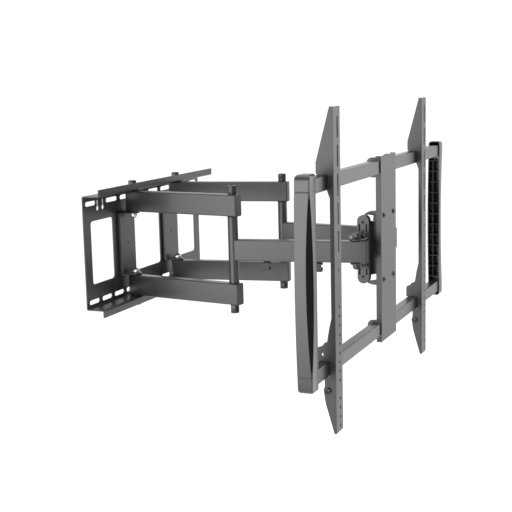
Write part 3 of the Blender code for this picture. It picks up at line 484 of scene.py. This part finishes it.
def loft(rings: Sequence[tuple[float, Sequence[tuple[float, float]]]], closed: bool) -> bmesh.types.BMesh:
    """Extrude an outline upwards through a row of outlines and cap both ends.

    Args:
        rings: Heights with their outlines as (x, y) points, from the bottom upwards.
        closed: Whether each outline's last point joins its first.

    Returns:
        The lofted shape, with its faces pointing outwards where it is closed.
    """
    shape = bmesh.new()
    height, outline = rings[0]
    verts = [shape.verts.new((across, behind, height)) for across, behind in outline]
    edges = [shape.edges.new(pair) for pair in zip(verts, verts[1:])]
    if closed:
        edges.append(shape.edges.new((verts[-1], verts[0])))
    shape.faces.new(verts)
    for height, outline in rings[1:]:
        grown = bmesh.ops.extrude_edge_only(shape, edges=edges)["geom"]
        edges = [item for item in grown if isinstance(item, bmesh.types.BMEdge)]
        fresh = {item for item in grown if isinstance(item, bmesh.types.BMVert)}
        rising = {}
        for vert in fresh:
            for edge in vert.link_edges:
                other = edge.other_vert(vert)
                if other not in fresh:
                    rising[other] = vert
        verts = [rising[vert] for vert in verts]
        for vert, (across, behind) in zip(verts, outline):
            vert.co = (across, behind, height)
    shape.faces.new(verts)
    bmesh.ops.recalc_face_normals(shape, faces=shape.faces)
    return shape


def upright_at(node: str, level: Level = Level.UPPER) -> Matrix:
    """Return the placement on a node's vertical centre line, upside down for the lower level.

    Args:
        node: A node that is round about that line.
        level: Whether the piece points up or down.

    Returns:
        A placement at height zero.
    """
    low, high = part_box(node)
    place = Matrix.Translation(((low.x + high.x) / 2, (low.y + high.y) / 2, 0.0))
    return place if level is Level.UPPER else place @ Matrix.Rotation(pi, 4, "X")


# ---------------------------------------------------------------- wall plate
@dataclass
class WallAssembly:
    """The plate on the wall, its pivot brackets, and the shoulder bolts with their nuts and washers."""

    shop: Workshop
    washer_outer: float = 15.0 * MM
    washer_inner: float = 6.8 * MM
    bolt_radius: float = 6.0 * MM
    head_radius: float = 11.7 * MM
    flange_radius: float = 12.9 * MM
    flange_height: float = 1.6 * MM
    lip_height: float = 16.0 * MM
    washer_height: float = 1.6 * MM
    clearance: float = 0.2 * MM
    chamfer: float = 1.0 * MM
    overlap: float = 1.0 * MM
    nut_radius: float = 10.4 * MM
    collar_radius: float = 8.8 * MM
    collar_bore: float = 6.3 * MM
    collar_height: float = 2.2 * MM

    def build(self) -> None:
        """Build and dress the whole assembly."""
        self.shop.dress("wall_plate", POWDER_COAT, 0.35)
        for side in Side:
            self.shop.dress(f"{side.word}_pivot_bracket", POWDER_COAT, 0.4)
            for level in Level:
                self.bolt(side, level)
                self.nut(side, level)
                self.washers(side, level)

    def bolt(self, side: Side, level: Level) -> None:
        """Build one shoulder bolt with a flanged, tall hexagonal head.

        Args:
            side: The side it stands on.
            level: The upper or the lower arm pair's level.
        """
        node = f"{side.word}_{level.name.lower()}_shoulder_bolt"
        low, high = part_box(node)
        tip, crown = sorted((abs(low.z), abs(high.z)))
        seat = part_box("wall_plate")[1].z - self.lip_height + 0.3 * MM
        radius, end = self.bolt_radius, seat + self.overlap
        shaft = turned([(0.0, tip), (radius - self.chamfer, tip), (radius, tip + self.chamfer), (radius, end),
                        (0.0, end)])
        rim, top = self.flange_radius, seat + self.flange_height
        flange = turned([(0.0, seat), (rim - 0.2 * MM, seat), (rim, seat + 0.4 * MM),
                         (rim - 0.3 * MM, seat + 1.2 * MM), (rim - 1.9 * MM, top), (0.0, top)])
        head = hex_head(self.head_radius, end, crown, 0.8 * MM)
        self.shop.keep(join(head, flange, shaft), f"{node}_detail", BLACK_OXIDE, "wall_plate",
                       upright_at(node, level), [node])

    def nut(self, side: Side, level: Level) -> None:
        """Build one lock nut with a rounded collar.

        Args:
            side: The side it stands on.
            level: The upper or the lower arm pair's level.
        """
        node = f"{side.word}_{level.name.lower()}_shoulder_nut"
        low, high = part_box(node)
        near, far = sorted((abs(low.z), abs(high.z)))
        shell = prism(6, self.nut_radius, near + self.collar_height, far)
        soften(shell, rising_edges(shell, 1.0 * MM), 1.0 * MM, 3)
        rims = [edge for edge in shell.edges if abs(edge.calc_face_angle(0.0)) > radians(60)]
        soften(shell, rims, 0.6 * MM, 2)
        bore, rim, top = self.collar_bore, self.collar_radius, near + self.collar_height + 0.4 * MM
        collar = turned([(bore, near), (rim - 0.8 * MM, near), (rim - 0.2 * MM, near + 0.6 * MM), (rim, top),
                         (bore, top)], closed=True)
        self.shop.keep(join(shell, collar), f"{node}_detail", ZINC_PLATE, "wall_plate",
                       upright_at(node, level), [node])

    def washers(self, side: Side, level: Level) -> None:
        """Build the nylon thrust washers above and below a rear arm's shoulder end.

        Args:
            side: The arm's side.
            level: The arm's level.
        """
        bolt = f"{side.word}_{level.name.lower()}_shoulder_bolt"
        low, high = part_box(f"{side.word}_{level.name.lower()}_rear_arm")
        near, far = sorted((abs(low.z), abs(high.z)))
        inner_start = near - self.clearance - self.washer_height
        for word, start in (("outer", far + self.clearance), ("inner", inner_start)):
            ring = washer(self.washer_inner, self.washer_outer, start, start + self.washer_height)
            name = f"{side.word}_{level.name.lower()}_shoulder_washer_{word}"
            self.shop.keep(ring, name, NYLON, "wall_plate", upright_at(bolt, level))


# ---------------------------------------------------------------- arms
@dataclass
class ArmPair:
    """The rear tubes, the forearm and the elbow of one side."""

    shop: Workshop
    side: Side
    cap_radius: float = 11.7 * MM
    skirt_radius: float = 10.9 * MM
    skirt_height: float = 1.4 * MM
    washer_inner: float = 8.9 * MM
    washer_outer: float = 13.2 * MM
    washer_height: float = 1.6 * MM
    clearance: float = 0.2 * MM

    def build(self) -> None:
        """Build and dress one side's arms."""
        word = self.side.word
        for level in Level:
            self.shop.dress(f"{word}_{level.name.lower()}_rear_arm", TUBE_COAT, 0.3)
            self.cap(level)
            self.elbow_washer(level)
        self.shop.dress(f"{word}_forearm", TUBE_COAT, 0.3)
        self.shop.dress(f"{word}_elbow_shaft", BLACK_OXIDE, 0.3)
        for node, body in ((f"{word}_upper_rear_arm_plug", f"{word}_rear_arm"),
                           (f"{word}_lower_rear_arm_plug", f"{word}_rear_arm"),
                           (f"{word}_forearm_plug", f"{word}_forearm")):
            self.shop.dress(node, MOULDED_ABS, 0.6)
        for number in (1, 2):
            self.shop.dress(f"{word}_cable_clip_{number}", MOULDED_ABS, 0.5)

    def cap(self, level: Level) -> None:
        """Build one tall hexagonal cap nut on the elbow shaft.

        Args:
            level: The end of the shaft.
        """
        node = f"{self.side.word}_{level.name.lower()}_elbow_cap"
        low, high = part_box(node)
        near, far = sorted((abs(low.z), abs(high.z)))
        head = hex_head(self.cap_radius, near + 0.6 * MM, far, 0.8 * MM)
        rim, top = self.skirt_radius, near + self.skirt_height
        skirt = turned([(0.0, near), (rim - 0.3 * MM, near), (rim, near + 0.3 * MM), (rim - 0.3 * MM, top),
                        (0.0, top)])
        self.shop.keep(join(head, skirt), f"{node}_detail", BLACK_OXIDE, f"{self.side.word}_rear_arm",
                       upright_at(node, level), [node])

    def elbow_washer(self, level: Level) -> None:
        """Build the washer between the elbow sleeve and a rear tube.

        Args:
            level: The rear tube's level.
        """
        node = f"{self.side.word}_elbow_shaft"
        arm = f"{self.side.word}_{level.name.lower()}_rear_arm"
        near = min(abs(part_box(arm)[0].z), abs(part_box(arm)[1].z))
        top = near - self.clearance
        ring = washer(self.washer_inner, self.washer_outer, top - self.washer_height, top)
        self.shop.keep(ring, f"{self.side.word}_{level.name.lower()}_elbow_washer", NYLON,
                       f"{self.side.word}_rear_arm", upright_at(node, level))


# ---------------------------------------------------------------- head
@dataclass
class Head:
    """The head bracket, the tilt carrier and their fasteners."""

    shop: Workshop
    bolt_radius: float = 6.0 * MM
    hex_radius: float = 9.5 * MM
    plate_radius: float = 10.8 * MM
    plate_height: float = 1.2 * MM
    lug_head_radius: float = 6.0 * MM
    lug_head_height: float = 9.0 * MM
    chamfer: float = 0.8 * MM
    overlap: float = 1.5 * MM

    def build(self) -> None:
        """Build and dress the head."""
        self.shop.dress("head_bracket", POWDER_COAT, 0.4)
        self.shop.dress("tilt_carrier", POWDER_COAT, 0.35)
        for side in Side:
            self.pivot_bolt(side)
            for level in Level:
                self.lug_bolt(side, level)
            self.shop.dress(f"{side.word}_tilt_bolt", BLACK_OXIDE, 0.3)

    def seat_plate(self, seat: float) -> bmesh.types.BMesh:
        """Return the round plate under a hexagonal head, standing on a given height."""
        rim, top = self.plate_radius, seat + self.plate_height
        return turned([(0.0, seat), (rim - 0.2 * MM, seat), (rim, seat + 0.3 * MM), (rim - 0.2 * MM, top),
                       (0.0, top)])

    def pivot_bolt(self, side: Side) -> None:
        """Build one head pivot bolt and its nut, with a plain washer under each.

        Args:
            side: The pivot's side.
        """
        node = f"{side.word}_head_pivot_bolt"
        nut_node = f"{side.word}_head_pivot_nut"
        low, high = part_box(node)
        nut_low, nut_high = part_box(nut_node)
        seat = abs(nut_high.z)
        radius, end = self.bolt_radius, seat + self.overlap
        shaft = turned([(0.0, low.z), (radius - self.chamfer, low.z), (radius, low.z + self.chamfer),
                        (radius, end), (0.0, end)])
        head = hex_head(self.hex_radius, seat + 1.0 * MM, high.z, 0.7 * MM)
        self.shop.keep(join(head, self.seat_plate(seat), shaft), f"{node}_detail", BLACK_OXIDE, "head",
                       upright_at(node), [node])
        nut = hex_head(self.hex_radius, seat + 0.8 * MM, abs(nut_low.z), 0.3 * MM)
        self.shop.keep(join(nut, self.seat_plate(seat)), f"{nut_node}_detail", BLACK_OXIDE, "head",
                       upright_at(nut_node, Level.LOWER), [nut_node])

    def lug_bolt(self, side: Side, level: Level) -> None:
        """Build one short hexagonal bolt beside a pivot.

        Args:
            side: The pivot's side.
            level: The upper or the lower plate.
        """
        node = f"{side.word}_{level.name.lower()}_lug_bolt"
        low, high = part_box(node)
        near, far = sorted((abs(low.z), abs(high.z)))
        seat = far - self.lug_head_height
        head = hex_head(self.lug_head_radius, seat, far, 0.4 * MM)
        radius, top = self.lug_head_radius / 2, seat + 0.8 * MM
        shaft = turned([(0.0, near), (radius, near), (radius, top), (0.0, top)], SMALL_STEPS)
        self.shop.keep(join(head, shaft), f"{node}_detail", BLACK_OXIDE, "head", upright_at(node, level),
                       [node])


# ---------------------------------------------------------------- TV frame
@dataclass
class SideCover:
    """One moulded end cover: a bowed shell with a crescent groove, a near-black strip of painted shade in
    that groove, and ribs on its open side.
    """

    shop: Workshop
    side: Side
    wall: float = 2.4 * MM
    bow: float = 3.2 * MM
    crescent_across: float = 16.0 * MM
    crescent_deep: float = 9.0 * MM
    least_across: float = 1.6 * MM
    least_deep: float = 1.2 * MM
    crescent_start: float = 0.075
    seam: float = 0.6 * MM
    end_panel: float = 35.0 * MM
    end_round: float = 13.0 * MM
    corner_round: float = 7.0 * MM
    rings: int = 40
    rib_pitch: float = 30.8 * MM
    rib_wall: float = 1.6 * MM
    rib_margin: float = 6.0 * MM
    rib_inset: float = 4.2 * MM
    spine_inset: float = 4.0 * MM
    spine_behind: float = 3.0 * MM
    bow_room: float = 3.5 * MM

    @property
    def node(self) -> str:
        """Return the CAD node's name."""
        return f"{self.side.word}_side_cover"

    def crescent(self, share: float) -> tuple[float, float]:
        """Return how far the crescent cuts in at a height.

        Args:
            share: Height from 0, the bottom, to 1, the top.

        Returns:
            The cut into the front and the cut into the outer side.
        """
        inner = max(0.0, min(1.0, (share - self.crescent_start) / (1 - 2 * self.crescent_start)))
        swell = sin(pi * inner) ** 0.8
        return self.least_across + self.crescent_across * swell, self.least_deep + self.crescent_deep * swell

    @staticmethod
    def drawn_in(distance: float, radius: float) -> float:
        """Return how far a rounded end is drawn in.

        Args:
            distance: Distance from the tip.
            radius: Radius of the rounding.

        Returns:
            How far the outline is drawn in there.
        """
        gap = max(0.0, radius - distance)
        return radius - (radius * radius - gap * gap) ** 0.5

    def section(self, share: float, inset: float) -> list[tuple[float, float]]:
        """Return the open section at a share of the height.

        Args:
            share: Height from 0, the bottom, to 1, the top.
            inset: How far the skin is drawn in, for a seam.

        Returns:
            Points as (distance from the inner side, distance behind the front).
        """
        low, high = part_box(self.node)
        tip = min(share, 1 - share) * (high.z - low.z)
        round_end = self.drawn_in(tip, self.end_round)
        round_corner = self.drawn_in(tip, self.corner_round)
        width = high.x - low.x - inset - round_end
        front = inset + round_corner
        deep = high.y - low.y - self.bow_room + self.bow * (1 - (2 * share - 1) ** 2) - inset - round_corner
        across, back = self.crescent(share)
        return [(0.0, front), (width - across, front), (width - 0.8 * across, front + 0.9 * back),
                (width, front + back), (width, deep), (0.0, deep)]

    def inlay(self, share: float) -> list[tuple[float, float]]:
        """Return the outline of the painted shade strip in the crescent groove, slightly below the shell's
        skin.

        Args:
            share: Height from 0, the bottom, to 1, the top.

        Returns:
            Points as (distance from the inner side, distance behind the front).
        """
        points = self.section(share, 0.0)
        (front_x, front_y), (root_x, root_y), (side_x, side_y) = points[1:4]
        return [(front_x + 0.3 * MM, front_y + 0.7 * MM), (side_x - 0.7 * MM, side_y - 0.3 * MM),
                (root_x + 0.1 * MM, root_y - 0.1 * MM)]

    def build(self) -> None:
        """Build the cover's shell, the painted shade strip in its crescent groove, and its ribs."""
        low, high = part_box(self.node)
        tall = high.z - low.z
        stations = [(index / self.rings, 0.0) for index in range(1, self.rings)]
        for middle in (self.end_panel / tall, 1 - self.end_panel / tall):
            stations = [item for item in stations if abs(item[0] - middle) > 3.0 * MM / tall]
            stations += [(middle - 1.0 * MM / tall, 0.0), (middle - 0.4 * MM / tall, self.seam),
                         (middle + 0.4 * MM / tall, self.seam), (middle + 1.0 * MM / tall, 0.0)]
        tips = [self.end_round * part / tall for part in (0.0, 0.05, 0.15, 0.3, 0.5, 0.75)]
        stations = [item for item in stations if tips[-1] + 0.001 < item[0] < 1 - tips[-1] - 0.001]
        stations += [(tip, 0.0) for tip in tips] + [(1 - tip, 0.0) for tip in tips]
        stations.sort()
        rings = [(share * tall, self.section(share, inset)) for share, inset in stations]
        self.finish_shell(loft(rings, False))
        # A near-black strip laid in the crescent groove: painted shade standing for the groove's darkness.
        shares = [self.crescent_start + (1 - 2 * self.crescent_start) * (0.04 + 0.92 * index / self.rings)
                  for index in range(self.rings + 1)]
        strip = loft([(share * tall, self.inlay(share)) for share in shares], True)
        strip.transform(self.placement())
        bmesh.ops.recalc_face_normals(strip, faces=strip.faces)
        self.shop.keep(strip, f"{self.node}_inlay", GROOVE_SHADE_ABS, "tv_frame", angle=30.0)

    def placement(self) -> Matrix:
        """Return the placement that mirrors the section on to its side of the frame."""
        low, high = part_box(self.node)
        if self.side is Side.RIGHT:
            return Matrix.Translation((low.x, low.y, low.z))
        return Matrix.Translation((high.x, low.y, low.z)) @ Matrix.Diagonal((-1.0, 1.0, 1.0, 1.0))

    def finish_shell(self, shape: bmesh.types.BMesh) -> None:
        """Place the shell, give it its wall and add the ribs.

        Args:
            shape: The cover's outer skin, before it is placed.
        """
        low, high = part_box(self.node)
        place = self.placement()
        shape.transform(place)
        bmesh.ops.recalc_face_normals(shape, faces=shape.faces)
        outward = self.side.value
        outermost = max(shape.faces, key=lambda face: outward * face.calc_center_median().x)
        if outward * outermost.normal.x < 0:
            bmesh.ops.reverse_faces(shape, faces=shape.faces)
        shell = self.shop.keep(shape, f"{self.node}_shell", SATIN_ABS, "tv_frame", replaces=[self.node],
                               angle=35.0)
        wall = shell.modifiers.new("wall", "SOLIDIFY")
        wall.thickness = self.wall
        wall.offset = -1.0
        wall.use_even_offset = True
        edge = shell.modifiers.new("moulded_edge", "BEVEL")
        edge.width = 1.0 * MM
        edge.segments = 3
        edge.limit_method = "ANGLE"
        edge.angle_limit = radians(40)
        rail_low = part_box("lower_rail")[1].z + self.rib_margin
        rail_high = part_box("upper_rail")[0].z - self.rib_margin
        count = int((rail_high - rail_low) / self.rib_pitch)
        start = (rail_high + rail_low - count * self.rib_pitch) / 2 - low.z
        width, deep = high.x - low.x, high.y - low.y - self.bow_room
        half = self.rib_wall / 2
        inner_x, outer_x = self.rib_inset, width - self.wall / 2
        step_x = width - self.least_across - self.crescent_across - self.wall
        front, back = self.wall / 2, deep - self.wall / 2
        step_y = self.least_deep + self.crescent_deep + self.wall
        outline = [(inner_x, front), (step_x, front), (step_x, step_y), (outer_x, step_y), (outer_x, back),
                   (inner_x, back)]
        spine = deep / 2 + self.spine_behind
        ribs = block((self.spine_inset, spine, start),
                     (outer_x, spine + self.rib_wall, start + count * self.rib_pitch))
        for index in range(count + 1):
            level = start + index * self.rib_pitch
            join(ribs, loft([(level - half, outline), (level + half, outline)], True))
        ribs.transform(place)
        bmesh.ops.recalc_face_normals(ribs, faces=ribs.faces)
        self.shop.keep(ribs, f"{self.node}_ribs", MOULDED_ABS, "tv_frame")


@dataclass
class TvFrame:
    """The column, the rails, the end covers and the two vertical TV brackets."""

    shop: Workshop
    screw_radius: float = 6.5 * MM
    screw_height: float = 3.2 * MM
    shank_radius: float = 3.0 * MM
    knob_radius: float = 7.0 * MM
    knob_height: float = 5.0 * MM
    thread_radius: float = 4.0 * MM
    overlap: float = 0.5 * MM

    def build(self) -> None:
        """Build and dress the frame."""
        self.shop.dress("column", POWDER_COAT, 0.4)
        for node in ("upper_rail", "lower_rail"):
            self.shop.dress(node, TUBE_COAT, 0.3)
        for number in (1, 2, 3, 4):
            self.button_screw(f"column_screw_{number}")
        for side in Side:
            self.shop.dress(f"{side.word}_tv_bracket", POWDER_COAT, 0.35)
            SideCover(self.shop, side).build()
            self.locking_screw(side)

    def button_screw(self, node: str) -> None:
        """Build one button-head screw with a round socket, its head towards -Y.

        Args:
            node: The screw's CAD node.
        """
        low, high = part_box(node)
        radius, tall = self.screw_radius, self.screw_height
        dome = [(0.0, 0.0), (radius - 0.3 * MM, 0.0), (radius, 0.35 * MM)]
        dome += [(radius * cos(angle), 0.5 * MM + (tall - 0.5 * MM) * sin(angle))
                 for angle in (0.2, 0.45, 0.7, 0.95, 1.15)]
        head = turned(dome + [(0.42 * radius, tall), (0.0, tall)], 48)
        bmesh.ops.dissolve_faces(head, faces=top_faces(head, tall))
        crown = top_faces(head, tall)
        bmesh.ops.inset_region(head, faces=crown, thickness=0.3 * MM, depth=0.0)
        bmesh.ops.inset_region(head, faces=crown, thickness=0.1 * MM, depth=-1.8 * MM)
        tip = tall - (high.y - low.y)
        shaft = turned([(0.0, tip), (self.shank_radius, tip), (self.shank_radius, self.overlap),
                        (0.0, self.overlap)], SMALL_STEPS)
        turn = Matrix.Rotation(pi / 2, 4, "X")
        place = Matrix.Translation(((low.x + high.x) / 2, low.y + tall, (low.z + high.z) / 2)) @ turn
        self.shop.keep(join(head, shaft), f"{node}_detail", BLACK_OXIDE, "tv_frame", place, [node])

    def locking_screw(self, side: Side) -> None:
        """Build one knurled locking screw, its head towards -X.

        Args:
            side: The TV bracket's side.
        """
        node = f"{side.word}_locking_screw"
        low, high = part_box(node)
        tall = self.knob_height
        tip = tall - (high.x - low.x)
        head = prism(28, self.knob_radius, 0.0, tall)
        flutes = [vert for vert in head.verts
                  if vert.index % 2 and Vector(vert.co[:2]).length > 0.9 * self.knob_radius]
        bmesh.ops.scale(head, verts=flutes, vec=(0.95, 0.95, 1.0))
        rim = [edge for edge in head.edges if min(vert.co.z for vert in edge.verts) > tall - SAME_EDGE]
        soften(head, rim, 0.6 * MM, 2)
        crown = top_faces(head, tall)
        bmesh.ops.inset_region(head, faces=crown, thickness=2.2 * MM, depth=0.0)
        bmesh.ops.inset_region(head, faces=crown, thickness=0.5 * MM, depth=-1.6 * MM)
        radius = self.thread_radius
        shaft = turned([(0.0, tip), (radius - 0.6 * MM, tip), (radius, tip + 0.8 * MM),
                        (radius, self.overlap), (0.0, self.overlap)], SMALL_STEPS)
        turn = Matrix.Rotation(-pi / 2, 4, "Y")
        place = Matrix.Translation((low.x + tall, (low.y + high.y) / 2, (low.z + high.z) / 2)) @ turn
        self.shop.keep(join(head, shaft), f"{node}_detail", BLACK_OXIDE, f"{side.word}_tv_bracket", place,
                       [node])


# ---------------------------------------------------------------- studio
@dataclass
class Studio:
    """A pale floor, soft lights and the camera."""

    camera_at: tuple[float, float, float] = (-2.5988, -1.4179, 0.4095)
    yaw: float = 23.0
    pitch: float = -9.2
    roll: float = -1.4
    lens: float = 77.4
    shift: tuple[float, float] = (0.003, 0.004)
    floor_z: float = -1.1

    def build(self) -> None:
        """Make the floor, the lights and the camera."""
        self.floor()
        self.lights()
        self.camera()

    def floor(self) -> None:
        """Lay a wide pale floor."""
        shape = bmesh.new()
        bmesh.ops.create_grid(shape, x_segments=1, y_segments=1, size=30.0)
        bmesh.ops.translate(shape, verts=shape.verts, vec=(0.0, 0.0, self.floor_z))
        mesh = bpy.data.meshes.new("floor")
        shape.to_mesh(mesh)
        shape.free()
        floor = bpy.data.objects.new("floor", mesh)
        bpy.context.scene.collection.objects.link(floor)
        paper = bpy.data.materials.new("white_paper")
        paper.use_nodes = True
        shader = paper.node_tree.nodes["Principled BSDF"]
        shader.inputs["Base Color"].default_value = linear("ffffff")
        shader.inputs["Roughness"].default_value = 0.9
        mesh.materials.append(paper)

    def area(self, name: str, place: Sequence[float], target: Sequence[float], size: tuple[float, float],
             power: float) -> None:
        """Hang one soft box.

        Args:
            name: The light's name.
            place: Where it hangs.
            target: Where it points.
            size: Width and height in metres.
            power: Watts.
        """
        data = bpy.data.lights.new(name, "AREA")
        data.shape = "RECTANGLE"
        data.size, data.size_y = size
        data.energy = power
        lamp = bpy.data.objects.new(name, data)
        lamp.location = place
        lamp.rotation_euler = (Vector(target) - Vector(place)).to_track_quat("-Z", "Y").to_euler()
        bpy.context.scene.collection.objects.link(lamp)

    def lights(self) -> None:
        """Set an even white surround and three soft boxes, and show the colours unaltered."""
        world = bpy.data.worlds.new("studio")
        world.use_nodes = True
        background = world.node_tree.nodes["Background"]
        background.inputs["Color"].default_value = linear("ffffff")
        background.inputs["Strength"].default_value = 1.1
        bpy.context.scene.world = world
        self.area("arm side", (-3.0, 0.7, 0.0), (0.0, -0.3, 0.0), (3.0, 1.6), 62.0)
        self.area("television side", (2.4, -2.8, 0.5), (0.0, -0.6, 0.0), (1.4, 1.8), 24.0)
        self.area("top", (-0.2, -0.6, 2.6), (0.0, -0.5, 0.0), (2.0, 2.0), 30.0)
        bpy.context.scene.view_settings.view_transform = "Standard"

    def camera(self) -> None:
        """Set the camera by its place, yaw from +X, pitch and roll."""
        data = bpy.data.cameras.new("camera")
        data.sensor_width = 36.0
        data.lens = self.lens
        data.shift_x, data.shift_y = self.shift
        data.clip_end = 100.0
        camera = bpy.data.objects.new("camera", data)
        turn = (Matrix.Rotation(radians(self.yaw) - pi / 2, 4, "Z")
                @ Matrix.Rotation(pi / 2 + radians(self.pitch), 4, "X")
                @ Matrix.Rotation(radians(self.roll), 4, "Z"))
        camera.matrix_world = Matrix.Translation(self.camera_at) @ turn
        bpy.context.scene.collection.objects.link(camera)
        bpy.context.scene.camera = camera
        LOG.info("camera yaw %.1f pitch %.1f, %.1f mm", self.yaw, self.pitch, degrees(data.angle))


def main() -> None:
    """Build every sub-assembly, dress the CAD nodes and set up the studio."""
    logging.basicConfig(level=logging.INFO, format="%(name)s %(message)s")
    shop = Workshop()
    Studio().build()
    WallAssembly(shop).build()
    for side in Side:
        ArmPair(shop, side).build()
    Head(shop).build()
    TvFrame(shop).build()
    LOG.info("%d pieces made", shop.made)


if __name__ == "__main__":
    main()
